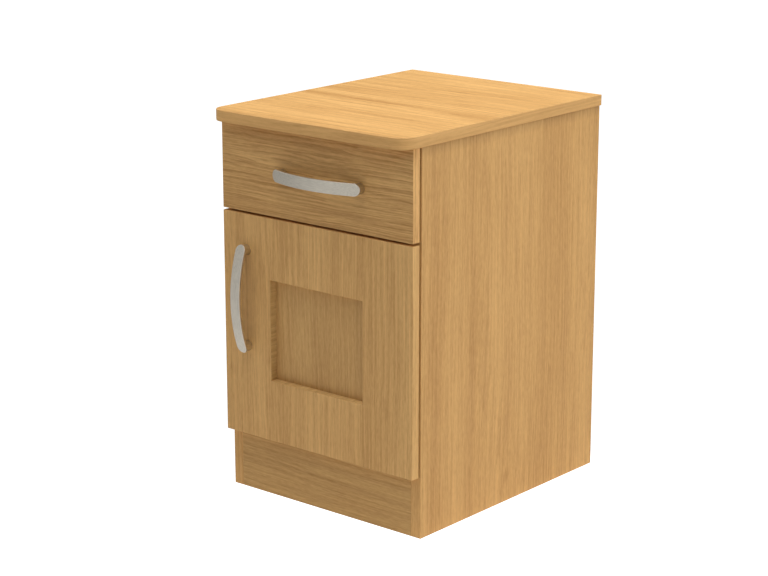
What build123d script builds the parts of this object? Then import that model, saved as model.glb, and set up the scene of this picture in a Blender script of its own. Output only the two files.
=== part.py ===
from build123d import *
import os

# Bedside cabinet: an overhanging top, a drawer above a cupboard with one door, on a plinth.
# +X is the cabinet's right, +Y its back, +Z up. The origin is on the floor, at the middle of
# the whole object's width and depth. Millimetres.

# ---------------------------------------------------------------- driving dimensions
cabinet_width = 400  # over the side panels
cabinet_height = 640
side_depth = 463
side_thickness = 19
board = 18  # top, divider, bottom, shelf, stretchers and plinth boards
top_front_overhang = 44
top_rear_overhang = 3
top_side_overhang = 1.5
top_corner_radius = 30
edge_round = 0.8  # along the edges of every banded board

plinth_height = 100
divider_middle = 474.5  # height of the divider's middle, behind the door and drawer gap
stretcher_depth = 70
rear_inset = 10  # from the sides' rear edges to the back panel
back_thickness = 5
groove_depth = 5
shelf_height = 291

front_thickness = 16  # door and drawer front
front_gap = 2  # between the fronts and the sides' edges, held by bumpers
reveal = 2.25  # from the cabinet's outer faces to the fronts' edges
door_bottom = 101
door_top = 472.5
drawer_front_bottom = 476.5
drawer_front_top = 621

recess_left = 101  # from the door's left edge to the recess
recess_width = 194
recess_bottom = 203  # height above the floor
recess_height = 168
recess_panel_thickness = 2.5
recess_panel_lap = 8

handle_length = 180
handle_width = 20
handle_strap = 3.6
handle_reach = 30  # from the front's face to the middle of the bow
handle_end_reach = 12.5  # from the front's face to the strap's outer face at its ends
handle_centres = 160
handle_post_radius = 9
handle_edge_round = 0.7
door_handle_x = -147
door_handle_z = 333.75
drawer_handle_x = 13.5
drawer_handle_z = 547.75

runner_width = 12.7
runner_length = 400
runner_height = 45
runner_setback = 3
runner_middle_z = 538
box_wall = 12
box_bottom_z = 492
box_height = 90
box_length = 402
box_floor = 5

hinge_heights = {"lower": 181, "upper": 392}
cup_edge_distance = 22.5  # from the door's right edge to the cup's middle
cup_radius = 17.5
cup_depth = 13
cup_wall = 1
link_pivot_inset = 11  # arm pivot, in from the side panel's inner face
link_pivot_setback = 3.5  # arm pivot, behind the side panel's front edge
cup_pivot_edge = 9.75  # cup pivot, in from the door's right edge
cup_pivot_depth = 7  # cup pivot, below the door's back face
link_half_width = 5
pivot_pin_radius = 1.5
cup_pin_radius = 1.25
running_clearance = 0.05

# ---------------------------------------------------------------- derived places
half_width = cabinet_width / 2
inner = half_width - side_thickness
reach = front_gap + front_thickness + handle_reach
front = -(side_depth + top_rear_overhang - reach) / 2  # the sides' front edges
rear = front + side_depth
front_face = front - front_gap - front_thickness  # outer face of door and drawer front
front_back = front - front_gap  # their inner face
back_face = rear - rear_inset - back_thickness  # the back panel's face, inside the cabinet
top_underside = cabinet_height - board
front_half = half_width - reveal
divider_low = divider_middle - board / 2
divider_high = divider_middle + board / 2
box_half = inner - runner_width
box_inner = box_half - box_wall
box_top = box_bottom_z + box_height
hinge_x = inner - link_pivot_inset
hinge_y = front + link_pivot_setback
cup_x = front_half - cup_edge_distance
cup_pin_x = front_half - cup_pivot_edge
cup_pin_y = front_back - cup_pivot_depth

os.makedirs("parts", exist_ok=True)


# ---------------------------------------------------------------- shared shapes
def slab(x0, x1, y0, y1, z0, z1, mode=Mode.ADD):
    """A rectangular board between two corners, added to or cut from the current part."""
    with Locations(((x0 + x1) / 2, (y0 + y1) / 2, (z0 + z1) / 2)):
        Box(x1 - x0, y1 - y0, z1 - z0, mode=mode)


def rod(start, direction, radius, length, mode=Mode.ADD):
    """A round bar or bore from a point along a direction, in the current part."""
    with BuildSketch(Plane(origin=start, z_dir=direction)) as section:
        Circle(radius)
    extrude(section.sketch, amount=length, mode=mode)


def screw(start, direction, radius, length, head_radius, head_height):
    """A screw whose head sits on the surface at start and whose shank goes along direction."""
    rod(start, direction, radius, length)
    rod(start, [-value for value in direction], head_radius, head_height)


def holes(places, direction, radius, length):
    """The same bore at several places, cut from the current part."""
    for place in places:
        rod(place, direction, radius, length, mode=Mode.SUBTRACT)


# ---------------------------------------------------------------- fixings: where they go
cam_radius = 7.5
cam_depth = 12.5
cam_inset = 24
cam_bolt_radius = 3
cam_bolt_into_side = 11
dowel_radius = 4
dowel_length = 30
dowel_into_side = 12

cam_setback = 60
middle_dowel_setback = 224
stretcher_cam_setback = 25
stretcher_dowel_setback = 50
plinth_dowel_heights = (30, 70)

# each horizontal board between the sides: name, underside, and the depths of its cams and dowels
full_board_cams = (front + cam_setback, back_face - cam_setback)
level_boards = {
    "bottom_panel": (plinth_height, full_board_cams, (front + middle_dowel_setback,)),
    "drawer_divider": (divider_low, full_board_cams, (front + middle_dowel_setback,)),
    "front_stretcher": (top_underside - board, (front + stretcher_cam_setback,),
                        (front + stretcher_dowel_setback,)),
    "rear_stretcher": (top_underside - board, (back_face - stretcher_cam_setback,),
                       (back_face - stretcher_dowel_setback,)),
}
cam_places = []
dowel_places = []
for underside, cam_depths, dowel_depths in level_boards.values():
    for side in (-1, 1):
        cam_places += [(side, y, underside) for y in cam_depths]
        dowel_places += [(side, y, underside + board / 2) for y in dowel_depths]
for board_front in (front, back_face - board):
    for height in plinth_dowel_heights:
        dowel_places += [(side, board_front + board / 2, height) for side in (-1, 1)]


def cut_side_fixings(side):
    """The bores in one side panel for cam bolts and dowels."""
    for which, y, z in cam_places:
        if which == side:
            start = (side * (inner + cam_bolt_into_side), y, z + board / 2)
            rod(start, (-side, 0, 0), cam_bolt_radius, cam_bolt_into_side, Mode.SUBTRACT)
    for which, y, z in dowel_places:
        if which == side:
            start = (side * (inner + dowel_into_side), y, z)
            rod(start, (-side, 0, 0), dowel_radius, dowel_into_side, Mode.SUBTRACT)


def cut_board_fixings(low, high, y0, y1):
    """The bores for cams, cam bolts and dowels in a board between two heights and two depths."""
    for side, y, z in cam_places:
        if low <= z < high and y0 < y < y1:
            cam_x = side * (inner - cam_inset)
            rod((cam_x, y, z), (0, 0, 1), cam_radius, cam_depth, Mode.SUBTRACT)
            start = (cam_x, y, z + board / 2)
            rod(start, (side, 0, 0), cam_bolt_radius, cam_inset, Mode.SUBTRACT)
    for side, y, z in dowel_places:
        if low <= z < high and y0 < y < y1:
            start = (side * (inner - dowel_length + dowel_into_side), y, z)
            rod(start, (side, 0, 0), dowel_radius, dowel_length - dowel_into_side, Mode.SUBTRACT)


screw_radius = 2
screw_head_radius = 4
small_head_radius = 3.5
screw_head_height = 2
top_screw_spread = 120
top_screw_depths = (front + 45, back_face - 35)
top_screw_places = [
    (x, y, top_underside - board)
    for x in (-top_screw_spread, top_screw_spread)
    for y in top_screw_depths
]
top_screw_length = 30
back_screw_spread = 110
back_screw_places = [
    (x, back_face + back_thickness, z)
    for x in (-back_screw_spread, back_screw_spread)
    for z in (plinth_height + board / 2, divider_middle, top_underside - board / 2)
]
back_screw_radius = 1.75
back_screw_length = 20
runner_screw_depths = (front + 37, front + 165, front + 325)
runner_screw_radius = 1.9
runner_screw_length = 11
stud_radius = 2.5
stud_into_side = 9
stud_out = 8
stud_depths = (front + 69, front + 389)
stud_places = [
    (side, y, shelf_height - stud_radius) for side in (-1, 1) for y in stud_depths
]
plate_screw_spacing = 32
plate_setback = 37
plate_screw_radius = 2.5
plate_screw_length = 12


def runner_screw_starts(side, depth):
    """Screw places on one runner, at a depth in from the side panel's face."""
    return [(side * (inner - depth), y, runner_middle_z) for y in runner_screw_depths]


# ---------------------------------------------------------------- carcass boards
with BuildPart() as top_panel:
    slab(-half_width - top_side_overhang, half_width + top_side_overhang,
         front - top_front_overhang, rear + top_rear_overhang, top_underside, cabinet_height)
    fillet(top_panel.edges().filter_by(Axis.Z).group_by(Axis.Y)[0], top_corner_radius)
    fillet(top_panel.edges().filter_by(Axis.Z).group_by(Axis.Y)[-1], edge_round)
    fillet(top_panel.faces().filter_by(Axis.Z).edges(), edge_round)
    holes([(x, y, top_underside) for x, y, z in top_screw_places], (0, 0, 1),
          screw_radius, top_screw_length - board)
top_panel.part.label = "top_panel"
export_step(top_panel.part, "parts/top_panel.step")

groove_play = 0.1
for side, name in ((-1, "left_side_panel"), (1, "right_side_panel")):
    inside = side * inner
    outside = side * half_width
    groove = side * (inner + groove_depth)
    with BuildPart() as side_panel:
        slab(min(inside, outside), max(inside, outside), front, rear, 0, top_underside)
        fillet(side_panel.edges(), edge_round)
        slab(min(inside, groove), max(inside, groove), back_face - groove_play,
             back_face + back_thickness + groove_play, 0, top_underside, mode=Mode.SUBTRACT)
        cut_side_fixings(side)
        holes([(inside, y, z) for _, y, z in runner_screw_starts(side, 0)], (side, 0, 0),
              runner_screw_radius, runner_screw_length)
        holes([(inside, y, z) for which, y, z in stud_places if which == side], (side, 0, 0),
              stud_radius, stud_into_side)
        if side > 0:
            for height in hinge_heights.values():
                holes([(inside, front + plate_setback, height + step)
                       for step in (-plate_screw_spacing / 2, plate_screw_spacing / 2)],
                      (1, 0, 0), plate_screw_radius, plate_screw_length)
    side_panel.part.label = name
    export_step(side_panel.part, f"parts/{name}.step")

for name, (underside, cam_depths, dowel_depths) in level_boards.items():
    y0 = back_face - stretcher_depth if name == "rear_stretcher" else front
    y1 = front + stretcher_depth if name == "front_stretcher" else back_face
    with BuildPart() as level_board:
        slab(-inner, inner, y0, y1, underside, underside + board)
        fillet(level_board.edges(), edge_round)
        cut_board_fixings(underside, underside + board, y0, y1)
        holes([place for place in top_screw_places
               if place[2] == underside and y0 < place[1] < y1],
              (0, 0, 1), screw_radius, board)
        holes([(x, y1, z) for x, y, z in back_screw_places
               if underside < z < underside + board and y1 == back_face],
              (0, -1, 0), back_screw_radius, back_screw_length - back_thickness)
    level_board.part.label = name
    export_step(level_board.part, f"parts/{name}.step")

for name, y0 in (("plinth_board", front), ("rear_plinth_board", back_face - board)):
    with BuildPart() as plinth:
        slab(-inner, inner, y0, y0 + board, 0, plinth_height)
        fillet(plinth.edges(), edge_round)
        cut_board_fixings(0, plinth_height, y0, y0 + board)
    plinth.part.label = name
    export_step(plinth.part, f"parts/{name}.step")

back_play = 1
back_panel_drop = 20  # how far it hangs below the bottom panel's underside
with BuildPart() as back_panel:
    slab(-inner - groove_depth + back_play, inner + groove_depth - back_play, back_face,
         back_face + back_thickness, plinth_height - back_panel_drop, top_underside)
    holes(back_screw_places, (0, -1, 0), back_screw_radius, back_thickness)
back_panel.part.label = "back_panel"
export_step(back_panel.part, "parts/back_panel.step")

shelf_play = 1
shelf_setback = 20
with BuildPart() as cupboard_shelf:
    slab(-inner + shelf_play, inner - shelf_play, front + shelf_setback, back_face - shelf_play,
         shelf_height, shelf_height + board)
    fillet(cupboard_shelf.edges(), edge_round)
cupboard_shelf.part.label = "cupboard_shelf"
export_step(cupboard_shelf.part, "parts/cupboard_shelf.step")

# ---------------------------------------------------------------- carcass fixings
with BuildPart() as shelf_studs:
    for side, y, z in stud_places:
        rod((side * (inner + stud_into_side), y, z), (-side, 0, 0), stud_radius,
            stud_into_side + stud_out)
shelf_studs.part.label = "shelf_studs"
export_step(shelf_studs.part, "parts/shelf_studs.step")

bolt_head_radius = 3.5
bolt_end_play = 1
slot_half_length = 3
slot_half_width = 0.6
slot_depth = 2
with BuildPart() as cam_housings:
    for side, y, z in cam_places:
        cam_x = side * (inner - cam_inset)
        rod((cam_x, y, z), (0, 0, 1), cam_radius, cam_depth)
        rod((cam_x, y, z + board / 2), (side, 0, 0), bolt_head_radius, cam_radius, Mode.SUBTRACT)
        slab(cam_x - slot_half_length, cam_x + slot_half_length, y - slot_half_width,
             y + slot_half_width, z, z + slot_depth, mode=Mode.SUBTRACT)
cam_housings.part.label = "cam_housings"
export_step(cam_housings.part, "parts/cam_housings.step")

with BuildPart() as cam_bolts:
    for side, y, z in cam_places:
        start = (side * (inner - cam_inset + bolt_end_play), y, z + board / 2)
        rod(start, (side, 0, 0), cam_bolt_radius, cam_inset - bolt_end_play + cam_bolt_into_side)
cam_bolts.part.label = "cam_bolts"
export_step(cam_bolts.part, "parts/cam_bolts.step")

with BuildPart() as wood_dowels:
    for side, y, z in dowel_places:
        rod((side * (inner + dowel_into_side), y, z), (-side, 0, 0), dowel_radius, dowel_length)
wood_dowels.part.label = "wood_dowels"
export_step(wood_dowels.part, "parts/wood_dowels.step")

with BuildPart() as top_screws:
    for place in top_screw_places:
        screw(place, (0, 0, 1), screw_radius, top_screw_length, screw_head_radius,
              screw_head_height)
top_screws.part.label = "top_screws"
export_step(top_screws.part, "parts/top_screws.step")

with BuildPart() as back_panel_screws:
    for place in back_screw_places:
        screw(place, (0, -1, 0), back_screw_radius, back_screw_length, small_head_radius,
              screw_head_height)
back_panel_screws.part.label = "back_panel_screws"
export_step(back_panel_screws.part, "parts/back_panel_screws.step")

# ---------------------------------------------------------------- door
door_left = -front_half
recess_x0 = door_left + recess_left
recess_x1 = recess_x0 + recess_width
recess_z0 = recess_bottom
recess_z1 = recess_bottom + recess_height
panel_x0 = recess_x0 - recess_panel_lap
panel_x1 = recess_x1 + recess_panel_lap
panel_z0 = recess_z0 - recess_panel_lap
panel_z1 = recess_z1 + recess_panel_lap
cup_screw_spacing = 45
cup_screw_offset = 9.5
cup_screw_radius = 1.75
cup_screw_length = 11
handle_screw_radius = 2
cup_screw_places = [
    (cup_x - cup_screw_offset, front_back, height + step)
    for height in hinge_heights.values()
    for step in (-cup_screw_spacing / 2, cup_screw_spacing / 2)
]
door_handle_posts = [
    (door_handle_x, front_face, door_handle_z + step)
    for step in (-handle_centres / 2, handle_centres / 2)
]
drawer_handle_posts = [
    (drawer_handle_x + step, front_face, drawer_handle_z)
    for step in (-handle_centres / 2, handle_centres / 2)
]

with BuildPart() as door_frame:
    slab(-front_half, front_half, front_face, front_back, door_bottom, door_top)
    fillet(door_frame.edges().filter_by(Axis.Y), edge_round)
    fillet(door_frame.edges().group_by(Axis.Y)[-1], edge_round)
    slab(recess_x0, recess_x1, front_face, front_back, recess_z0, recess_z1, mode=Mode.SUBTRACT)
    fillet(door_frame.edges().group_by(Axis.Y)[0], edge_round)
    slab(panel_x0, panel_x1, front_back - recess_panel_thickness, front_back,
         panel_z0, panel_z1, mode=Mode.SUBTRACT)
    holes([(cup_x, front_back, height) for height in hinge_heights.values()],
          (0, -1, 0), cup_radius, cup_depth)
    holes(cup_screw_places, (0, -1, 0), cup_screw_radius, cup_screw_length)
    holes(door_handle_posts, (0, 1, 0), handle_screw_radius, front_thickness)
door_frame.part.label = "door_frame"
export_step(door_frame.part, "parts/door_frame.step")

with BuildPart() as door_recess_panel:
    slab(panel_x0, panel_x1, front_back - recess_panel_thickness, front_back, panel_z0, panel_z1)
door_recess_panel.part.label = "door_recess_panel"
export_step(door_recess_panel.part, "parts/door_recess_panel.step")

bumper_radius = 4
bumper_inset = 25
with BuildPart() as door_bumpers:
    for height in (door_bottom + bumper_inset, door_top - bumper_inset):
        rod((-half_width + side_thickness / 2, front_back, height), (0, 1, 0),
            bumper_radius, front_gap)
door_bumpers.part.label = "door_bumpers"
export_step(door_bumpers.part, "parts/door_bumpers.step")


# ---------------------------------------------------------------- bow handles
handle_bore_depth = 10
handle_screw_bite = 9
handle_head_height = 2.4
bow_cover = handle_reach + 1  # past the top of the bow


def bow_handle(base):
    """A bowed strap with round ends on two round posts. base lies on the front's face, its
    x along the handle and its z out of the face. The posts are bored for their screws."""
    bow_plane = Plane(origin=base.origin, x_dir=base.x_dir, z_dir=base.y_dir)
    half = handle_length / 2
    out = 1 if bow_plane.y_dir.dot(base.z_dir) > 0 else -1
    with BuildPart() as handle:
        with BuildSketch(base):
            with Locations((-handle_centres / 2, 0), (handle_centres / 2, 0)):
                Circle(handle_post_radius)
        extrude(amount=bow_cover)
        with BuildSketch(bow_plane):
            with BuildLine():
                Polyline((-half, out * handle_end_reach), (-half, 0), (half, 0),
                         (half, out * handle_end_reach))
                ThreePointArc((-half, out * handle_end_reach), (0, out * handle_reach),
                              (half, out * handle_end_reach))
            make_face()
        extrude(amount=handle_width / 2, both=True, mode=Mode.INTERSECT)
    with BuildPart() as strap:
        with BuildSketch(bow_plane):
            with BuildLine():
                ThreePointArc((-half, out * handle_end_reach), (0, out * handle_reach),
                              (half, out * handle_end_reach))
                Line((half, out * handle_end_reach),
                     (half, out * (handle_end_reach - handle_strap)))
                ThreePointArc((half, out * (handle_end_reach - handle_strap)),
                              (0, out * (handle_reach - handle_strap)),
                              (-half, out * (handle_end_reach - handle_strap)))
                Line((-half, out * (handle_end_reach - handle_strap)),
                     (-half, out * handle_end_reach))
            make_face()
        extrude(amount=handle_width / 2, both=True)
        with BuildSketch(base):
            SlotOverall(handle_length, handle_width)
        extrude(amount=bow_cover, mode=Mode.INTERSECT)
        fillet(strap.edges(), handle_edge_round)
    with BuildPart() as whole:
        add(handle.part)
        add(strap.part)
        with BuildSketch(base):
            with Locations((-handle_centres / 2, 0), (handle_centres / 2, 0)):
                Circle(handle_screw_radius)
        extrude(amount=handle_bore_depth, mode=Mode.SUBTRACT)
    return whole.part


door_handle_part = bow_handle(
    Plane(origin=(door_handle_x, front_face, door_handle_z), x_dir=(0, 0, 1), z_dir=(0, -1, 0)))
door_handle_part.label = "door_handle"
export_step(door_handle_part, "parts/door_handle.step")

drawer_handle_part = bow_handle(
    Plane(origin=(drawer_handle_x, front_face, drawer_handle_z), x_dir=(1, 0, 0),
          z_dir=(0, -1, 0)))
drawer_handle_part.label = "drawer_handle"
export_step(drawer_handle_part, "parts/drawer_handle.step")

with BuildPart() as door_handle_screws:
    for x, y, z in door_handle_posts:
        screw((x, front_back, z), (0, -1, 0), handle_screw_radius,
              front_thickness + handle_screw_bite, screw_head_radius, handle_head_height)
door_handle_screws.part.label = "door_handle_screws"
export_step(door_handle_screws.part, "parts/door_handle_screws.step")

# ---------------------------------------------------------------- drawer
box_front_inner = front_back + box_wall
box_rear = front_back + box_length
floor_groove = 6
floor_inset = 8
floor_z = box_bottom_z + floor_inset
floor_play = 0.5
front_screw_spread = 130
front_screw_heights = (box_bottom_z + 30, box_top - 18)
front_screw_places = [
    (x, box_front_inner, z)
    for x in (-front_screw_spread, front_screw_spread)
    for z in front_screw_heights
]
front_screw_bite = 11
box_screw_heights = (box_bottom_z + 25, box_top - 20)
box_screw_length = 32
drawer_runner_screw_length = 10

with BuildPart() as drawer_front:
    slab(-front_half, front_half, front_face, front_back, drawer_front_bottom, drawer_front_top)
    fillet(drawer_front.edges(), edge_round)
    holes(drawer_handle_posts, (0, 1, 0), handle_screw_radius, front_thickness)
    holes([(x, front_back, z) for x, y, z in front_screw_places], (0, -1, 0), screw_radius,
          front_screw_bite)
drawer_front.part.label = "drawer_front"
export_step(drawer_front.part, "parts/drawer_front.step")

box_end_boards = (
    ("drawer_box_front", front_back, box_bottom_z),
    ("drawer_box_back", box_rear - box_wall, floor_z + box_floor),
)
for name, y0, z0 in box_end_boards:
    with BuildPart() as box_end:
        slab(-box_inner, box_inner, y0, y0 + box_wall, z0, box_top)
        fillet(box_end.edges(), edge_round)
        if name == "drawer_box_front":
            slab(-box_inner, box_inner, y0 + box_wall - floor_groove, y0 + box_wall,
                 floor_z, floor_z + box_floor, mode=Mode.SUBTRACT)
            holes([(x, y0, z) for x, _, z in drawer_handle_posts], (0, 1, 0),
                  handle_screw_radius, box_wall)
            holes([(x, y0, z) for x, _, z in front_screw_places], (0, 1, 0), screw_radius,
                  box_wall)
        for side in (-1, 1):
            holes([(side * box_inner, y0 + box_wall / 2, z) for z in box_screw_heights],
                  (-side, 0, 0), back_screw_radius, box_screw_length - box_wall)
    box_end.part.label = name
    export_step(box_end.part, f"parts/{name}.step")

for side, name in ((-1, "drawer_box_left"), (1, "drawer_box_right")):
    x0, x1 = sorted((side * box_inner, side * box_half))
    g0, g1 = sorted((side * box_inner, side * (box_inner + floor_groove)))
    with BuildPart() as box_side:
        slab(x0, x1, front_back, box_rear, box_bottom_z, box_top)
        fillet(box_side.edges(), edge_round)
        slab(g0, g1, front_back + box_wall - floor_groove, box_rear, floor_z,
             floor_z + box_floor, mode=Mode.SUBTRACT)
        for y in (front_back + box_wall / 2, box_rear - box_wall / 2):
            holes([(side * box_half, y, z) for z in box_screw_heights], (-side, 0, 0),
                  back_screw_radius, box_wall)
        holes([(side * box_half, y, runner_middle_z) for y in runner_screw_depths],
              (-side, 0, 0), runner_screw_radius, drawer_runner_screw_length)
    box_side.part.label = name
    export_step(box_side.part, f"parts/{name}.step")

with BuildPart() as drawer_bottom:
    slab(-box_inner - floor_groove + floor_play, box_inner + floor_groove - floor_play,
         front_back + box_wall - floor_groove + floor_play, box_rear, floor_z,
         floor_z + box_floor)
drawer_bottom.part.label = "drawer_bottom"
export_step(drawer_bottom.part, "parts/drawer_bottom.step")

with BuildPart() as drawer_box_screws:
    for side in (-1, 1):
        for y in (front_back + box_wall / 2, box_rear - box_wall / 2):
            for z in box_screw_heights:
                rod((side * box_half, y, z), (-side, 0, 0), back_screw_radius,
                    box_screw_length)
drawer_box_screws.part.label = "drawer_box_screws"
export_step(drawer_box_screws.part, "parts/drawer_box_screws.step")

with BuildPart() as drawer_front_screws:
    for place in front_screw_places:
        screw(place, (0, -1, 0), screw_radius, box_wall + front_screw_bite, screw_head_radius,
              screw_head_height)
drawer_front_screws.part.label = "drawer_front_screws"
export_step(drawer_front_screws.part, "parts/drawer_front_screws.step")

with BuildPart() as drawer_handle_screws:
    for x, y, z in drawer_handle_posts:
        screw((x, box_front_inner, z), (0, -1, 0), handle_screw_radius,
              box_wall + front_thickness + handle_screw_bite, screw_head_radius,
              handle_head_height)
drawer_handle_screws.part.label = "drawer_handle_screws"
export_step(drawer_handle_screws.part, "parts/drawer_handle_screws.step")

with BuildPart() as drawer_bumpers:
    for side in (-1, 1):
        rod((side * (half_width - side_thickness / 2), front_back,
             drawer_front_top - bumper_inset), (0, 1, 0), bumper_radius, front_gap)
drawer_bumpers.part.label = "drawer_bumpers"
export_step(drawer_bumpers.part, "parts/drawer_bumpers.step")

# ---------------------------------------------------------------- drawer runners
# Each runner is three nested rolled-steel channels: one on the side panel, one that floats
# between, and one on the drawer. Depths are measured in from the side panel's face: each
# channel's near edge, its far edge and its web, and then half its height.
runner_sheet = 1.2
runner_head_height = 1.0
channels = {
    "outer": (0, 8.0, 0, runner_height / 2),
    "middle": (3.0, 10.6, 6.2, runner_height / 2 - 4.6),
    "inner": (8.0, runner_width, runner_width - runner_sheet, runner_height / 2 - 9.6),
}
runner_front = front + runner_setback
for side, side_name in ((-1, "left"), (1, "right")):
    for member, (near, far, web, half_height) in channels.items():
        web_x = sorted((side * (inner - web), side * (inner - web - runner_sheet)))
        span_x = sorted((side * (inner - near), side * (inner - far)))
        name = f"{side_name}_runner_{member}"
        with BuildPart() as channel:
            slab(*web_x, runner_front, runner_front + runner_length,
                 runner_middle_z - half_height, runner_middle_z + half_height)
            for edge in (runner_middle_z - half_height,
                         runner_middle_z + half_height - runner_sheet):
                slab(*span_x, runner_front, runner_front + runner_length,
                     edge, edge + runner_sheet)
            if member == "outer":
                holes(runner_screw_starts(side, runner_sheet), (side, 0, 0),
                      runner_screw_radius, runner_sheet)
            if member == "inner":
                holes(runner_screw_starts(side, web), (-side, 0, 0),
                      runner_screw_radius, runner_sheet)
        channel.part.label = name
        export_step(channel.part, f"parts/{name}.step")

with BuildPart() as runner_screws:
    for side in (-1, 1):
        for place in runner_screw_starts(side, runner_sheet):
            screw(place, (side, 0, 0), runner_screw_radius, runner_screw_length + runner_sheet,
                  small_head_radius, runner_head_height)
runner_screws.part.label = "runner_screws"
export_step(runner_screws.part, "parts/runner_screws.step")

with BuildPart() as drawer_runner_screws:
    for side in (-1, 1):
        for place in runner_screw_starts(side, runner_width - runner_sheet):
            screw(place, (-side, 0, 0), runner_screw_radius,
                  drawer_runner_screw_length + runner_sheet, small_head_radius,
                  runner_head_height)
drawer_runner_screws.part.label = "drawer_runner_screws"
export_step(drawer_runner_screws.part, "parts/drawer_runner_screws.step")

# ---------------------------------------------------------------- concealed hinges
# A mounting plate on the side panel, an arm clipped over it, a hooked link that reaches from
# the arm round the door's edge into the cup, and the cup let into the door's back.
plate_sheet = 2.5
plate_end_width = 18
plate_block_front = front + 20
plate_block_rear = front + 60
clip_play = 0.1
arm_sheet = 1.2
arm_side_play = 0.2
arm_inner_half = link_half_width + arm_side_play
ear_radius = 3.2
arm_web_x = hinge_x - ear_radius
arm_rear = front + 66
arm_web_front = front + 12
arm_screw_y = front + 46
arm_screw_radius = 2.5
arm_screw_length = 8
arm_screw_head_height = 1.8
flange_sheet = 0.6
flange_radius = 18.5
flange_end_width = 14
cup_pin_half = 10.4
link_sheet = 1.8
arm_eye_radius = 3.0
cup_eye_radius = 2.4
hook_outside = (hinge_x + 7.0, hinge_y - 13.6)  # where the hook passes round the door's edge
hook_turn = (hinge_x + 10.6, hinge_y - 15.9)
plate_head_radius = 4.2
cup_head_radius = 3.2
cup_head_height = 0.9
for end, height in hinge_heights.items():
    with BuildPart() as plate:
        with BuildSketch(Plane(origin=(inner, front + plate_setback, height),
                               x_dir=(0, 0, 1), z_dir=(-1, 0, 0))):
            SlotOverall(plate_screw_spacing + plate_end_width, plate_end_width)
        extrude(amount=plate_sheet)
        slab(arm_web_x + arm_sheet + clip_play, inner - plate_sheet, plate_block_front,
             plate_block_rear, height - arm_inner_half + clip_play,
             height + arm_inner_half - clip_play)
        for step in (-plate_screw_spacing / 2, plate_screw_spacing / 2):
            rod((inner - plate_sheet, front + plate_setback, height + step), (1, 0, 0),
                plate_screw_radius, plate_sheet, Mode.SUBTRACT)
        rod((arm_web_x + arm_sheet, arm_screw_y, height), (1, 0, 0), arm_screw_radius,
            arm_screw_length, Mode.SUBTRACT)
    plate.part.label = f"{end}_hinge_plate"
    export_step(plate.part, f"parts/{end}_hinge_plate.step")

    with BuildPart() as arm:
        slab(arm_web_x, arm_web_x + arm_sheet, arm_web_front, arm_rear,
             height - arm_inner_half - arm_sheet, height + arm_inner_half + arm_sheet)
        for z0 in (height - arm_inner_half - arm_sheet, height + arm_inner_half):
            with BuildSketch(Plane.XY.offset(z0)):
                with BuildLine():
                    Polyline((arm_web_x, hinge_y), (arm_web_x, arm_rear),
                             (inner - plate_sheet - clip_play, arm_rear),
                             (inner - plate_sheet - clip_play, arm_web_front),
                             (hinge_x + ear_radius, hinge_y), (arm_web_x, hinge_y))
                make_face()
                with Locations((hinge_x, hinge_y)):
                    Circle(ear_radius)
            extrude(amount=arm_sheet)
        rod((hinge_x, hinge_y, height - arm_inner_half - arm_sheet), (0, 0, 1),
            pivot_pin_radius, 2 * (arm_inner_half + arm_sheet), Mode.SUBTRACT)
        rod((arm_web_x, arm_screw_y, height), (1, 0, 0), arm_screw_radius, arm_sheet,
            Mode.SUBTRACT)
    arm.part.label = f"{end}_hinge_arm"
    export_step(arm.part, f"parts/{end}_hinge_arm.step")

    with BuildPart() as link:
        with BuildSketch(Plane.XY.offset(height - link_half_width)):
            with BuildLine() as spine:
                Spline((hinge_x, hinge_y), hook_outside, hook_turn, (cup_pin_x, cup_pin_y))
            trace(spine.line, line_width=link_sheet)
            with Locations((hinge_x, hinge_y)):
                Circle(arm_eye_radius)
            with Locations((cup_pin_x, cup_pin_y)):
                Circle(cup_eye_radius)
            with Locations((hinge_x, hinge_y)):
                Circle(pivot_pin_radius + running_clearance, mode=Mode.SUBTRACT)
            with Locations((cup_pin_x, cup_pin_y)):
                Circle(cup_pin_radius + running_clearance, mode=Mode.SUBTRACT)
        extrude(amount=2 * link_half_width)
    link.part.label = f"{end}_hinge_link"
    export_step(link.part, f"parts/{end}_hinge_link.step")

    with BuildPart() as cup:
        rod((cup_x, front_back, height), (0, -1, 0), cup_radius, cup_depth)
        with BuildSketch(Plane(origin=(cup_x, front_back, height), x_dir=(0, 0, 1),
                               z_dir=(0, 1, 0))):
            Circle(flange_radius)
            with Locations((0, -cup_screw_offset)):
                SlotOverall(cup_screw_spacing + flange_end_width, flange_end_width)
        extrude(amount=flange_sheet)
        rod((cup_x, front_back + flange_sheet, height), (0, -1, 0), cup_radius - cup_wall,
            cup_depth + flange_sheet - cup_wall, Mode.SUBTRACT)
        rod((cup_pin_x, cup_pin_y, height - cup_pin_half), (0, 0, 1), cup_pin_radius,
            2 * cup_pin_half, Mode.SUBTRACT)
        for step in (-cup_screw_spacing / 2, cup_screw_spacing / 2):
            rod((cup_x - cup_screw_offset, front_back, height + step), (0, 1, 0),
                cup_screw_radius, flange_sheet, Mode.SUBTRACT)
    cup.part.label = f"{end}_hinge_cup"
    export_step(cup.part, f"parts/{end}_hinge_cup.step")

with BuildPart() as hinge_arm_pins:
    for height in hinge_heights.values():
        rod((hinge_x, hinge_y, height - arm_inner_half - arm_sheet), (0, 0, 1),
            pivot_pin_radius, 2 * (arm_inner_half + arm_sheet))
hinge_arm_pins.part.label = "hinge_arm_pins"
export_step(hinge_arm_pins.part, "parts/hinge_arm_pins.step")

with BuildPart() as hinge_cup_pins:
    for height in hinge_heights.values():
        rod((cup_pin_x, cup_pin_y, height - cup_pin_half), (0, 0, 1), cup_pin_radius,
            2 * cup_pin_half)
hinge_cup_pins.part.label = "hinge_cup_pins"
export_step(hinge_cup_pins.part, "parts/hinge_cup_pins.step")

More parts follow.
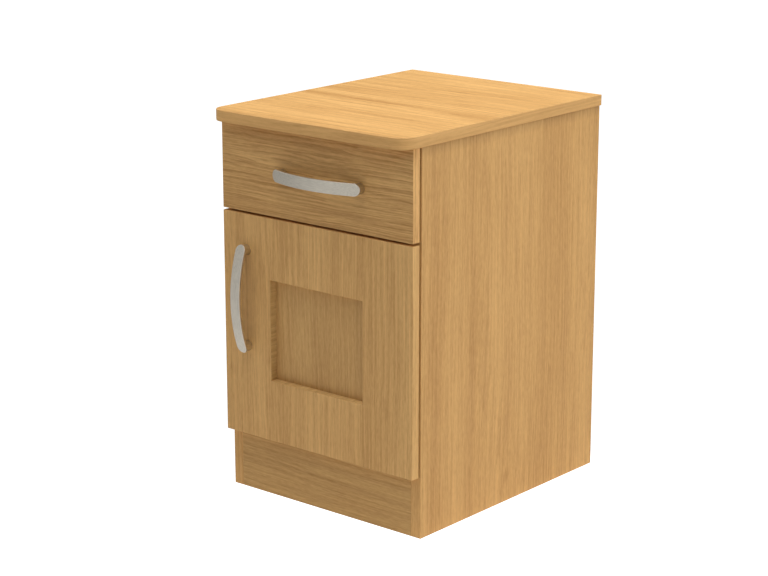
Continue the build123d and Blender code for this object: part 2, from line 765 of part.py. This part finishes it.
with BuildPart() as hinge_plate_screws:
    for height in hinge_heights.values():
        for step in (-plate_screw_spacing / 2, plate_screw_spacing / 2):
            screw((inner - plate_sheet, front + plate_setback, height + step), (1, 0, 0),
                  plate_screw_radius, plate_sheet + plate_screw_length, plate_head_radius,
                  screw_head_height)
hinge_plate_screws.part.label = "hinge_plate_screws"
export_step(hinge_plate_screws.part, "parts/hinge_plate_screws.step")

with BuildPart() as hinge_arm_screws:
    for height in hinge_heights.values():
        screw((arm_web_x, arm_screw_y, height), (1, 0, 0), arm_screw_radius, arm_screw_length,
              screw_head_radius, arm_screw_head_height)
hinge_arm_screws.part.label = "hinge_arm_screws"
export_step(hinge_arm_screws.part, "parts/hinge_arm_screws.step")

with BuildPart() as hinge_cup_screws:
    for x, y, z in cup_screw_places:
        screw((x, y + flange_sheet, z), (0, -1, 0), cup_screw_radius,
              flange_sheet + cup_screw_length, cup_head_radius, cup_head_height)
hinge_cup_screws.part.label = "hinge_cup_screws"
export_step(hinge_cup_screws.part, "parts/hinge_cup_screws.step")
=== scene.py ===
import math

import bpy
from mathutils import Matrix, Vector


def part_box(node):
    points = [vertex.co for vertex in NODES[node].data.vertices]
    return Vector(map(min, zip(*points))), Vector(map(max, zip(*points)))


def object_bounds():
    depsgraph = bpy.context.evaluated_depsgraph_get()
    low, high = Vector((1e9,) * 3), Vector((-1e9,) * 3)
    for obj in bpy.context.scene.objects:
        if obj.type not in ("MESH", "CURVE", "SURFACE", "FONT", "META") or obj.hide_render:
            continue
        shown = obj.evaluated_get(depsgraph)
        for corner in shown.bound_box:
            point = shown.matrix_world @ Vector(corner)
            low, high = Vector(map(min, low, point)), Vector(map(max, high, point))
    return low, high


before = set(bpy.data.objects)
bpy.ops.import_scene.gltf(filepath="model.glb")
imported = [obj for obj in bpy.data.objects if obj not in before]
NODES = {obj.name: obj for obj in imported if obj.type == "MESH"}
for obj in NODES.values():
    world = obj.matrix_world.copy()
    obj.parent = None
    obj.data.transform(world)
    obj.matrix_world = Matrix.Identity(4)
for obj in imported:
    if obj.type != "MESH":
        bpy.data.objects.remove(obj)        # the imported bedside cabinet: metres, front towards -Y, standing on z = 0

CAD_LOW, CAD_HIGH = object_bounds()
CENTRE = (CAD_LOW + CAD_HIGH) / 2

X, Y, Z = 0, 1, 2        # axes, and grain directions


# ---------------------------------------------------------------- node helpers

class Tree:
    """A node tree that is filled by short calls, each of which returns its output socket."""

    def __init__(self, tree):
        self.tree = tree

    def node(self, kind, **settings):
        made = self.tree.nodes.new(kind)
        for name, value in settings.items():
            setattr(made, name, value)
        return made

    def put(self, socket, value):
        if isinstance(value, bpy.types.NodeSocket):
            self.tree.links.new(value, socket)
        else:
            socket.default_value = value

    def math(self, operation, a, b=0.0, clamp=False):
        made = self.node("ShaderNodeMath", operation=operation, use_clamp=clamp)
        self.put(made.inputs[0], a)
        self.put(made.inputs[1], b)
        return made.outputs[0]

    def vector(self, operation, a, b):
        made = self.node("ShaderNodeVectorMath", operation=operation)
        self.put(made.inputs[0], a)
        self.put(made.inputs[1], b)
        return made.outputs["Vector"]

    def combine(self, x, y, z):
        made = self.node("ShaderNodeCombineXYZ")
        for socket, value in zip(made.inputs, (x, y, z)):
            self.put(socket, value)
        return made.outputs[0]

    def separate(self, vector):
        made = self.node("ShaderNodeSeparateXYZ")
        self.put(made.inputs[0], vector)
        return made.outputs

    def noise(self, vector, scale=1.0, detail=2.0, roughness=0.5):
        made = self.node("ShaderNodeTexNoise")
        self.put(made.inputs["Vector"], vector)
        self.put(made.inputs["Scale"], scale)
        self.put(made.inputs["Detail"], detail)
        self.put(made.inputs["Roughness"], roughness)
        return made.outputs["Fac"]

    def span(self, value, from_low, from_high, to_low=0.0, to_high=1.0, smooth=False):
        """The value carried from one range over to another, and held at its ends."""
        made = self.node("ShaderNodeMapRange")
        made.interpolation_type = "SMOOTHSTEP" if smooth else "LINEAR"
        for socket, number in zip(made.inputs, (value, from_low, from_high, to_low, to_high)):
            self.put(socket, number)
        return made.outputs[0]

    def swing(self, noise, amount):
        """A noise value spread over -amount to amount."""
        return self.span(noise, *USUAL_NOISE, -amount, amount)

    def mix(self, factor, a, b, kind="RGBA", blend="MIX"):
        made = self.node("ShaderNodeMix", data_type=kind, blend_type=blend)
        for socket, value in zip([socket for socket in made.inputs if socket.enabled], (factor, a, b)):
            self.put(socket, value)
        return next(socket for socket in made.outputs if socket.enabled)

    def bump(self, height, distance, strength):
        made = self.node("ShaderNodeBump")
        self.put(made.inputs["Strength"], strength)
        self.put(made.inputs["Distance"], distance)
        self.put(made.inputs["Height"], height)
        return made.outputs[0]


def new_material(name):
    """An empty material, as a Tree with its Principled shader."""
    material = bpy.data.materials.new(name)
    material.use_nodes = True
    tree = Tree(material.node_tree)
    tree.material = material
    tree.shader = material.node_tree.nodes["Principled BSDF"]
    return tree


def finish_shader(tree, **inputs):
    for name, value in inputs.items():
        tree.put(tree.shader.inputs[name.replace("_", " ")], value)
    return tree.material


# ---------------------------------------------------------------- oak laminate

OAK_PALE = (0.840, 0.512, 0.198)
OAK_DARK = (0.450, 0.2285, 0.073)

# Grain noises: (waves per metre along the grain, waves per metre across it, detail)
DRIFT = (1.3, 5.0, 1.5)
SWAY = (5.0, 24.0, 1.0)
BANDS = (0.35, 13.0, 2.0)
STRANDS = (0.8, 60.0, 1.0)
LINES = (4.5, 270.0, 2.0)
FLECKS = (90.0, 520.0, 1.0)
PORES = (40.0, 650.0, 1.0)
KNOTS = (12.0, 40.0, 2.0)
RING_PATCHES = (2.2, 16.0, 1.0)

MOST_DRIFT = 0.022       # metres that the grain wanders sideways
MOST_SWAY = 0.0022
SEED_STEP = (1.37, 0.91, 0.53)       # metres from one board's grain to the next one's
RING_PITCH = 0.0085
RING_WOBBLE = 2.0
RING_SHARPNESS = 2.5
LINE_ROUGHNESS = 0.6

# The noise levels between which each marking fades in
USUAL_NOISE = (0.3, 0.7)
PATCH_NOISE = (0.40, 0.60)
PORE_NOISE = (0.56, 0.70)
KNOT_NOISE = (0.68, 0.80)

# How far each marking shifts the shade between OAK_DARK at 0 and OAK_PALE at 1
MIDDLE_SHADE = 0.5
BAND_DEPTH = 0.16
STRAND_DEPTH = 0.05
LINE_DEPTH = 0.18
FLECK_DEPTH = 0.09
RING_DEPTH = 0.16
PORE_DEPTH = 0.13
KNOT_DEPTH = 0.22
RIM_CONTRAST = 0.5
RIM_LIFT = 0.3

# The laminate's finish
OAK_ROUGHNESS = (0.46, 0.56)
OAK_SPECULAR = 0.12
PORE_PIT = 4.0
OAK_RELIEF = 0.00010
OAK_BUMP = 0.35

FACING = 0.5             # a face looks along an axis when its normal's share of it is more than this
ACROSS_GRAIN = 0.72


def hollow_walls(tree, place, normal, box):
    """One on the walls of a hollow that opens along Y, inside a box; nought elsewhere."""
    low, high = box
    wall = tree.math("LESS_THAN", tree.math("ABSOLUTE", normal[Y]), FACING)
    for axis in (X, Z):
        middle, half = (low[axis] + high[axis]) / 2, (high[axis] - low[axis]) / 2
        away = tree.math("ABSOLUTE", tree.math("SUBTRACT", place[axis], middle))
        wall = tree.math("MULTIPLY", wall, tree.math("LESS_THAN", away, half))
    return wall


def grain_vector(tree, along, edge, seed, hollow=None, rim=None):
    """The point in grain axes, in metres: x runs with the grain. Faces that cut the grain take a banding
    strip's grain, along the edge direction. The walls of a hollow take grain that runs into it. A rim
    takes one strip that runs on round its corners. Also returns the place, and a mask for each face."""
    coordinates = tree.node("ShaderNodeTexCoord")
    place = tree.separate(coordinates.outputs["Object"])
    normal = tree.separate(coordinates.outputs["Normal"])

    def axes(first):
        others = [place[axis] for axis in (X, Y, Z) if axis != first]
        return tree.combine(place[first], *others)

    faces = {"front": tree.math("LESS_THAN", normal[Y], -FACING),
             "banded": tree.math("GREATER_THAN", tree.math("ABSOLUTE", normal[along]), ACROSS_GRAIN)}
    chosen = tree.mix(faces["banded"], axes(along), axes(edge), kind="VECTOR")
    if hollow:
        faces["wall"] = hollow_walls(tree, place, normal, hollow)
        chosen = tree.mix(faces["wall"], chosen, axes(Y), kind="VECTOR")
    if rim:
        rim_front = rim[0][Y]
        set_back = tree.math("SUBTRACT", place[Y], rim_front)
        round_corner = tree.math("MULTIPLY", tree.math("SIGN", place[X]), set_back)
        strip = tree.combine(tree.math("ADD", place[X], round_corner), place[Z], 0.0)
        faces["rim"] = tree.math("LESS_THAN", tree.math("ABSOLUTE", normal[Z]), FACING)
        chosen = tree.mix(faces["rim"], chosen, strip, kind="VECTOR")
    return tree.vector("ADD", chosen, tuple(seed * step for step in SEED_STEP)), place, faces


def grain_noise(tree, grain, layer, closer=1.0, roughness=0.5):
    """One of the grain noises, stretched along the grain; closer packs its waves."""
    along, across, detail = layer
    waves = (along * closer, across * closer, across * closer)
    return tree.noise(tree.vector("MULTIPLY", grain, waves), detail=detail, roughness=roughness)


def wandering(tree, plain, waver):
    """The grain axes, bent a little to and fro across the grain."""
    drift = grain_noise(tree, plain, DRIFT)
    along, across, detail = SWAY
    sway = grain_noise(tree, plain, (along * waver, across, detail))
    most_sway = MOST_SWAY * waver
    shift = tree.math("ADD", tree.span(drift, 0, 1, -MOST_DRIFT, MOST_DRIFT),
                      tree.span(sway, 0, 1, -most_sway, most_sway))
    return tree.vector("ADD", plain, tree.combine(0.0, shift, shift))


def growth_rings(tree, grain, strands, lines, fineness):
    """Dark late-wood lines at a steady pitch, which come and go in patches."""
    depth = tree.separate(grain)
    phase = tree.math("DIVIDE", tree.math("ADD", depth[Y], depth[Z]), RING_PITCH / fineness)
    phase = tree.math("ADD", phase, tree.math("MULTIPLY", strands, RING_WOBBLE))
    ring = tree.math("POWER", tree.math("FRACT", tree.math("ADD", phase, lines)), RING_SHARPNESS)
    shown = tree.span(grain_noise(tree, grain, RING_PATCHES), *PATCH_NOISE)
    return tree.math("MULTIPLY", ring, shown)


def oak(name, along, edge, seed, tone_and_painted_light=(1, 1, 1), figure=1.0, streaks=1.0, rings=1.0, fineness=1.0,
        waver=1.0, hollow=None, rim=None, painted_shading=None, shades=()):
    """Satin oak-print laminate: wandering bands, growth lines, strands, fine streaks and short dark pores.
    tone scales the laminate's colour; on the top it is painted light and on the plinth painted shade. tints
    holds painted light and shade, as colour factors for the faces named in it. shades lists soft contact
    shades: (face or None for all of them, axis, dark at, clear at, what is left of the colour at its darkest)."""
    tree = new_material(name)
    plain, place, faces = grain_vector(tree, along, edge, seed, hollow, rim)
    grain = wandering(tree, plain, waver)
    strands = grain_noise(tree, grain, STRANDS)
    lines = grain_noise(tree, grain, LINES, closer=fineness, roughness=LINE_ROUGHNESS)
    pores = tree.span(grain_noise(tree, grain, PORES), *PORE_NOISE, 0.0, PORE_DEPTH)
    knots = tree.span(grain_noise(tree, grain, KNOTS), *KNOT_NOISE, 0.0, KNOT_DEPTH * figure, smooth=True)
    growth = tree.math("MULTIPLY", growth_rings(tree, grain, strands, lines, fineness), RING_DEPTH * rings)

    shade = MIDDLE_SHADE
    for marking, amount in ((grain_noise(tree, grain, BANDS), BAND_DEPTH * figure),
                            (strands, STRAND_DEPTH * figure),
                            (lines, LINE_DEPTH * streaks),
                            (grain_noise(tree, grain, FLECKS), FLECK_DEPTH)):
        shade = tree.math("ADD", shade, tree.swing(marking, amount))
    dark_marks = tree.math("ADD", growth, tree.math("ADD", pores, knots))
    shade = tree.math("SUBTRACT", shade, dark_marks, clamp=True)
    if rim:
        quiet = tree.math("ADD", tree.math("MULTIPLY", shade, RIM_CONTRAST), RIM_LIFT)
        elsewhere = tree.math("MULTIPLY", shade, tree.math("SUBTRACT", 1.0, faces["rim"]))
        shade = tree.math("ADD", elsewhere, tree.math("MULTIPLY", quiet, faces["rim"]))

    dark, pale = (tuple(c * t for c, t in zip(stain, tone_and_painted_light)) + (1,) for stain in (OAK_DARK, OAK_PALE))
    colour = tree.mix(shade, dark, pale)
    # Painted light and shade, multiplied onto the faces named in each entry
    for face, painted_factor in (painted_shading or {}).items():
        colour = tree.mix(faces[face], colour, painted_factor, blend="MULTIPLY")
    for face, axis, dark_at, clear_at, darkest in shades:
        left = tree.span(place[axis], clear_at, dark_at, 1.0, darkest)
        grey = tree.combine(left, left, left)
        colour = tree.mix(faces[face] if face else 1.0, colour, grey, blend="MULTIPLY")
    height = tree.math("SUBTRACT", lines, tree.math("MULTIPLY", pores, PORE_PIT))
    return finish_shader(tree, Base_Color=colour, Roughness=tree.span(lines, *USUAL_NOISE, *OAK_ROUGHNESS),
                         Specular_IOR_Level=OAK_SPECULAR, Normal=tree.bump(height, OAK_RELIEF, OAK_BUMP))


# ---------------------------------------------------------------- metals and plastics

SATIN_NICKEL = (0.62, 0.575, 0.49)
# Painted light: the door handle's satin nickel, drawn paler than the same finish on the drawer handle
NICKEL_PAINTED_PALER = (0.665, 0.615, 0.525)
ZINC = (0.62, 0.63, 0.64)
STEEL = (0.58, 0.58, 0.58)
IVORY = (0.80, 0.80, 0.76)

# Marks per metre in x, y and z: few of them along the brushing, many across it
BRUSHED_X = (60, 900, 900)
BRUSHED_Y = (900, 60, 900)
BRUSHED_Z = (900, 900, 60)
UNBRUSHED = (700, 700, 700)
CLOUDS = 60.0
SPECKS = 900.0
METAL_RELIEF = 0.00003
METAL_BUMP = 0.25
METAL_ROUGHNESS_SWING = 0.04
PLASTIC_RELIEF = 0.00004
PLASTIC_BUMP = 0.3
PLASTIC_ROUGHNESS_SWING = 0.05
SPECK_SHADE = 0.92


def metal(name, colour, roughness, brush=UNBRUSHED, metallic=1.0, marked=0.10, worn=0.04):
    """Plated or brushed metal: fine directional marks and soft cloudy wear."""
    tree = new_material(name)
    place = tree.node("ShaderNodeTexCoord").outputs["Object"]
    marks = tree.noise(tree.vector("MULTIPLY", place, brush), detail=2.0)
    cloud = tree.noise(place, scale=CLOUDS, detail=3.0)
    level = tree.math("ADD", tree.swing(marks, marked), tree.swing(cloud, worn))
    tinted = tree.node("ShaderNodeVectorMath", operation="SCALE")
    tinted.inputs[0].default_value = colour
    tree.put(tinted.inputs["Scale"], tree.math("ADD", level, 1.0))
    return finish_shader(tree, Base_Color=tinted.outputs[0], Metallic=metallic,
                         Roughness=tree.math("ADD", tree.swing(marks, METAL_ROUGHNESS_SWING), roughness),
                         Normal=tree.bump(marks, METAL_RELIEF, METAL_BUMP))


def moulded(name, colour, roughness):
    """Plastic with a fine moulded texture."""
    tree = new_material(name)
    place = tree.node("ShaderNodeTexCoord").outputs["Object"]
    speck = tree.noise(place, scale=SPECKS, detail=2.0)
    darker = tuple(level * SPECK_SHADE for level in colour)
    return finish_shader(tree, Base_Color=tree.mix(speck, darker + (1,), colour + (1,)),
                         Roughness=tree.math("ADD", tree.swing(speck, PLASTIC_ROUGHNESS_SWING), roughness),
                         Normal=tree.bump(speck, PLASTIC_RELIEF, PLASTIC_BUMP))


# ---------------------------------------------------------------- a material for each piece

# Colour factors set board by board under this studio's lights. They carry some of the shading, and
# aren't known differences between the real boards.
# Painted light: the top drawn paler than the same laminate elsewhere, for its brighter upper face
TOP_PAINTED_LIGHT = (1.04, 1.04, 1.04)
DOOR_TONE = (1.00, 1.017, 1.03)
# Painted shade: the plinth boards drawn darker, for the shade under the door
PLINTH_PAINTED_SHADE = (0.87, 0.914, 0.937)
BACK_TONE = (0.90, 0.90, 0.90)
BOX_TONE = (1.08, 1.08, 1.08)
BEECH_TONE = (1.15, 1.15, 1.15)

# Painted shade: the drawer front's face drawn darker, for the shade under the top's overhang
DRAWER_PAINTED_SHADE = (0.90, 0.905, 0.91, 1)
# Painted shade: the face of the door's sunken panel drawn darker, for the shade inside the hollow
RECESS_PAINTED_SHADE = (0.91, 0.92, 0.93, 1)
EDGE_PAINTED_LIGHT = (1.12, 1.12, 1.14, 1)    # painted light: the ends of the door and the drawer front drawn paler, to lighten the dark gap between them
WALL_PAINTED_LIGHT = (0.92, 1.02, 1.10, 1)    # painted light: the walls of the door's hollow drawn a little cooler, to offset the warm light bounced between them

# Soft contact shades, painted on to deepen what the lights give, in the form that oak() takes
SHADE_LEFT = 0.80
UNDER_TOP_REACH = 0.018
RECESS_REACH = 0.040
SIDE_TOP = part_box("right_side_panel")[1][Z]
RECESS_LOW, RECESS_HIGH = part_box("door_recess_panel")
UNDER_TOP = (None, Z, SIDE_TOP, SIDE_TOP - UNDER_TOP_REACH, SHADE_LEFT)
RECESS_SHADE = ("front", X, RECESS_HIGH[X], RECESS_HIGH[X] - RECESS_REACH, SHADE_LEFT)


def dress(material, *names):
    for name in names:
        mesh = NODES[name].data
        mesh.materials.clear()
        mesh.materials.append(material)


def named(*words):
    """The nodes whose names hold any of these words."""
    return [name for name in NODES if any(word in name for word in words)]


def dress_outside():
    """The boards that can be seen from the front with the drawer and the door shut."""
    dress(oak("oak_top", X, Y, 1, tone_and_painted_light=TOP_PAINTED_LIGHT, streaks=1.6, figure=0.75, rim=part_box("top_panel")),
          "top_panel")
    for seed, side in ((2, "right"), (3, "left")):
        dress(oak("oak_" + side + "_side", Z, Y, seed, figure=0.9, streaks=0.8, shades=(UNDER_TOP,)),
              side + "_side_panel")
    dress(oak("oak_door", Z, X, 4, tone_and_painted_light=DOOR_TONE, figure=0.75, streaks=1.1,
              hollow=(RECESS_LOW, RECESS_HIGH), painted_shading={"wall": WALL_PAINTED_LIGHT, "banded": EDGE_PAINTED_LIGHT}),
          "door_frame")
    dress(oak("oak_recess", Z, X, 5, tone_and_painted_light=DOOR_TONE, figure=0.75, streaks=0.8, painted_shading={"front": RECESS_PAINTED_SHADE},
              shades=(RECESS_SHADE,)), "door_recess_panel")
    dress(oak("oak_drawer_front", X, Z, 6, figure=1.1, streaks=1.9, rings=2.0, fineness=1.3, waver=1.6,
              painted_shading={"front": DRAWER_PAINTED_SHADE, "banded": EDGE_PAINTED_LIGHT}), "drawer_front")
    dress(oak("oak_plinth", X, Z, 7, tone_and_painted_light=PLINTH_PAINTED_SHADE, figure=1.2), "plinth_board", "rear_plinth_board")


def dress_inside():
    """The boards behind those, as far as the back."""
    dress(oak("oak_shelves", X, Y, 8), "cupboard_shelf", "bottom_panel", "drawer_divider",
          "front_stretcher", "rear_stretcher")
    dress(oak("oak_back", Z, X, 9, tone_and_painted_light=BACK_TONE, streaks=0.7), "back_panel")
    dress(oak("drawer_board", Y, X, 10, tone_and_painted_light=BOX_TONE, figure=0.6), "drawer_box_left", "drawer_box_right")
    dress(oak("drawer_board_cross", X, Y, 11, tone_and_painted_light=BOX_TONE, figure=0.6), "drawer_box_front",
          "drawer_box_back", "drawer_bottom")
    dress(oak("beech", X, Y, 12, tone_and_painted_light=BEECH_TONE, figure=0.3, streaks=0.5), "wood_dowels")


def dress_fittings():
    """Handles, sheet metal, screws and bumpers. Zinc and steel are less than wholly metallic, so that
    they stay pale where the studio has nothing for them to mirror."""
    dress(metal("satin_nickel_level", SATIN_NICKEL, 0.34, brush=BRUSHED_X), "drawer_handle")
    dress(metal("satin_nickel_upright", NICKEL_PAINTED_PALER, 0.34, brush=BRUSHED_Z), "door_handle")
    dress(metal("zinc_sheet", ZINC, 0.38, brush=BRUSHED_Y, metallic=0.6),
          *named("runner_outer", "runner_middle", "runner_inner", "hinge_plate", "hinge_arm", "hinge_link",
                 "hinge_cup", "cam_housings", "cam_bolts", "shelf_studs"))
    dress(metal("screw_steel", STEEL, 0.34, metallic=0.7), *named("screws", "pins"))
    dress(moulded("bumper_plastic", IVORY, 0.4), *named("bumpers"))


# ---------------------------------------------------------------- floor and surroundings

FLOOR_HALF = 30.0
REACH = 6.0              # how far off the surroundings that the metal mirrors are
WHITE = (1, 1, 1, 1)
NEAR_STRIP = 0.06        # width of the floor strip round the cabinet that throws more light up
STRIP_GLOW = 0.45
FLOOR_GLOW = 0.04
ROOM_FROM, ROOM_TO = -100, 160       # degrees round from the front, positive to the right
ROOM_LOW, ROOM_LOW_GLOW = -4.5, 0.92
ROOM_HIGH, ROOM_HIGH_GLOW = 1.5, 0.54
ROOM_FAR_LEFT, ROOM_LEFT = -5.9, -2.5
FAR_LEFT_SHARE = 0.60                # of the glow elsewhere


def plane_mesh(name, half):
    mesh = bpy.data.meshes.new(name)
    corners = [(-half, -half, 0), (half, -half, 0), (half, half, 0), (-half, half, 0)]
    mesh.from_pydata(corners, [], [(0, 1, 2, 3)])
    return mesh


def shell_mesh(name, radius, from_azimuth, to_azimuth):
    """Part of a sphere round the origin, between two directions on the floor, in degrees from the front."""
    turns, rises, steepest = 24, 16, 88
    mesh = bpy.data.meshes.new(name)
    points = []
    for turn in range(turns + 1):
        azimuth = math.radians(from_azimuth + (to_azimuth - from_azimuth) * turn / turns)
        for rise in range(rises + 1):
            elevation = math.radians(-steepest + 2 * steepest * rise / rises)
            level = radius * math.cos(elevation)
            points.append((level * math.sin(azimuth), -level * math.cos(azimuth),
                           radius * math.sin(elevation)))
    row = rises + 1
    faces = [(t * row + r, (t + 1) * row + r, (t + 1) * row + r + 1, t * row + r + 1)
             for t in range(turns) for r in range(rises)]
    mesh.from_pydata(points, [], faces)
    return mesh


def staged(name, mesh, material, **seen_by):
    """A piece of the studio, which only the named kinds of ray meet."""
    mesh.materials.append(material)
    made = bpy.data.objects.new(name, mesh)
    for kind in ("camera", "diffuse", "glossy", "shadow"):
        setattr(made, "visible_" + kind, seen_by.get(kind, False))
    bpy.context.scene.collection.objects.link(made)


def studio_paint(name, base, glow):
    """Matt paint with a faint mottle and a glow, which glow() works out from the place in x, y and z."""
    tree = new_material(name)
    place = tree.node("ShaderNodeTexCoord").outputs["Object"]
    mottle = tree.noise(place, scale=40.0, detail=3.0)
    colour = tree.mix(mottle, (base * 0.98,) * 3 + (1,), (base,) * 3 + (1,))
    return finish_shader(tree, Base_Color=colour, Roughness=0.9, Specular_IOR_Level=0.0,
                         Emission_Color=WHITE, Emission_Strength=glow(tree, tree.separate(place)))


def white_glow(tree, spot):
    return 1.0


def floor_glow(tree, spot):
    """A little light from the whole floor, and more from the strip beside the cabinet."""
    beyond = [tree.math("SUBTRACT", tree.math("ABSOLUTE", spot[axis]), CAD_HIGH[axis]) for axis in (X, Y)]
    return tree.span(tree.math("MAXIMUM", *beyond), 0.0, NEAR_STRIP, STRIP_GLOW, FLOOR_GLOW)


def room_glow(tree, spot):
    """Brighter low down, darker at the far left."""
    rise = tree.span(spot[Z], ROOM_LOW, ROOM_HIGH, ROOM_LOW_GLOW, ROOM_HIGH_GLOW)
    return tree.math("MULTIPLY", rise, tree.span(spot[X], ROOM_FAR_LEFT, ROOM_LEFT, FAR_LEFT_SHARE, 1.0))


def studio():
    """A white floor and backdrop that the camera sees, a floor at the same height that only lights the
    cabinet, and part of a pale room that is only seen in gloss and metal."""
    white = studio_paint("pale_floor", 0.9, white_glow)
    staged("floor", plane_mesh("floor", FLOOR_HALF), white, camera=True)
    staged("backdrop", shell_mesh("backdrop", FLOOR_HALF, -180, 180), white, camera=True)
    staged("floor_bounce", plane_mesh("floor_bounce", FLOOR_HALF), studio_paint("bounce", 0.92, floor_glow),
           diffuse=True, shadow=True)
    staged("surroundings", shell_mesh("surroundings", REACH, ROOM_FROM, ROOM_TO),
           studio_paint("room", 0.1, room_glow), glossy=True)


# ---------------------------------------------------------------- light and camera

WORLD_STRENGTH = 0.14
LENS = 100.5
SENSOR = 36.0
CAMERA_AZIMUTH = 40.11
CAMERA_ELEVATION = 14.98
CAMERA_DISTANCE = 3.542
CAMERA_AIM = CENTRE + Vector((-0.0308, -0.0230, 0.0080))


def softbox(name, place, size, watts):
    """A rectangular area light at a place, aimed at the cabinet's middle."""
    data = bpy.data.lights.new(name, "AREA")
    data.shape = "RECTANGLE"
    data.size, data.size_y = size
    data.energy = watts
    made = bpy.data.objects.new(name, data)
    made.location = place
    made.rotation_euler = (CENTRE - Vector(place)).to_track_quat("-Z", "Y").to_euler()
    bpy.context.scene.collection.objects.link(made)


def lighting():
    world = bpy.data.worlds.new("studio")
    world.use_nodes = True
    background = world.node_tree.nodes["Background"]
    background.inputs["Color"].default_value = WHITE
    background.inputs["Strength"].default_value = WORLD_STRENGTH
    bpy.context.scene.world = world
    world.cycles_visibility.glossy = False
    softbox("overhead", (0.3, 0.2, 3.2), (2.6, 2.6), 89)
    softbox("over_front", (-0.2, -1.8, 3.0), (2.4, 2.0), 20)
    softbox("right", (3.2, 0.6, 1.4), (2.0, 2.0), 27)
    softbox("left_fill", (-3.2, -0.4, 1.6), (2.0, 2.0), 15)
    softbox("back_fill", (0.8, 3.4, 1.6), (2.0, 2.0), 18)


def camera():
    data = bpy.data.cameras.new("camera")
    data.lens = LENS
    data.sensor_width = SENSOR
    azimuth, elevation = math.radians(CAMERA_AZIMUTH), math.radians(CAMERA_ELEVATION)
    level = math.cos(elevation)
    back = Vector((math.sin(azimuth) * level, -math.cos(azimuth) * level, math.sin(elevation)))
    made = bpy.data.objects.new("camera", data)
    made.location = CAMERA_AIM + back * CAMERA_DISTANCE
    made.rotation_euler = (-back).to_track_quat("-Z", "Y").to_euler()
    bpy.context.scene.collection.objects.link(made)
    bpy.context.scene.camera = made


dress_outside()
dress_inside()
dress_fittings()
studio()
lighting()
camera()
bpy.context.scene.view_settings.view_transform = "Standard"
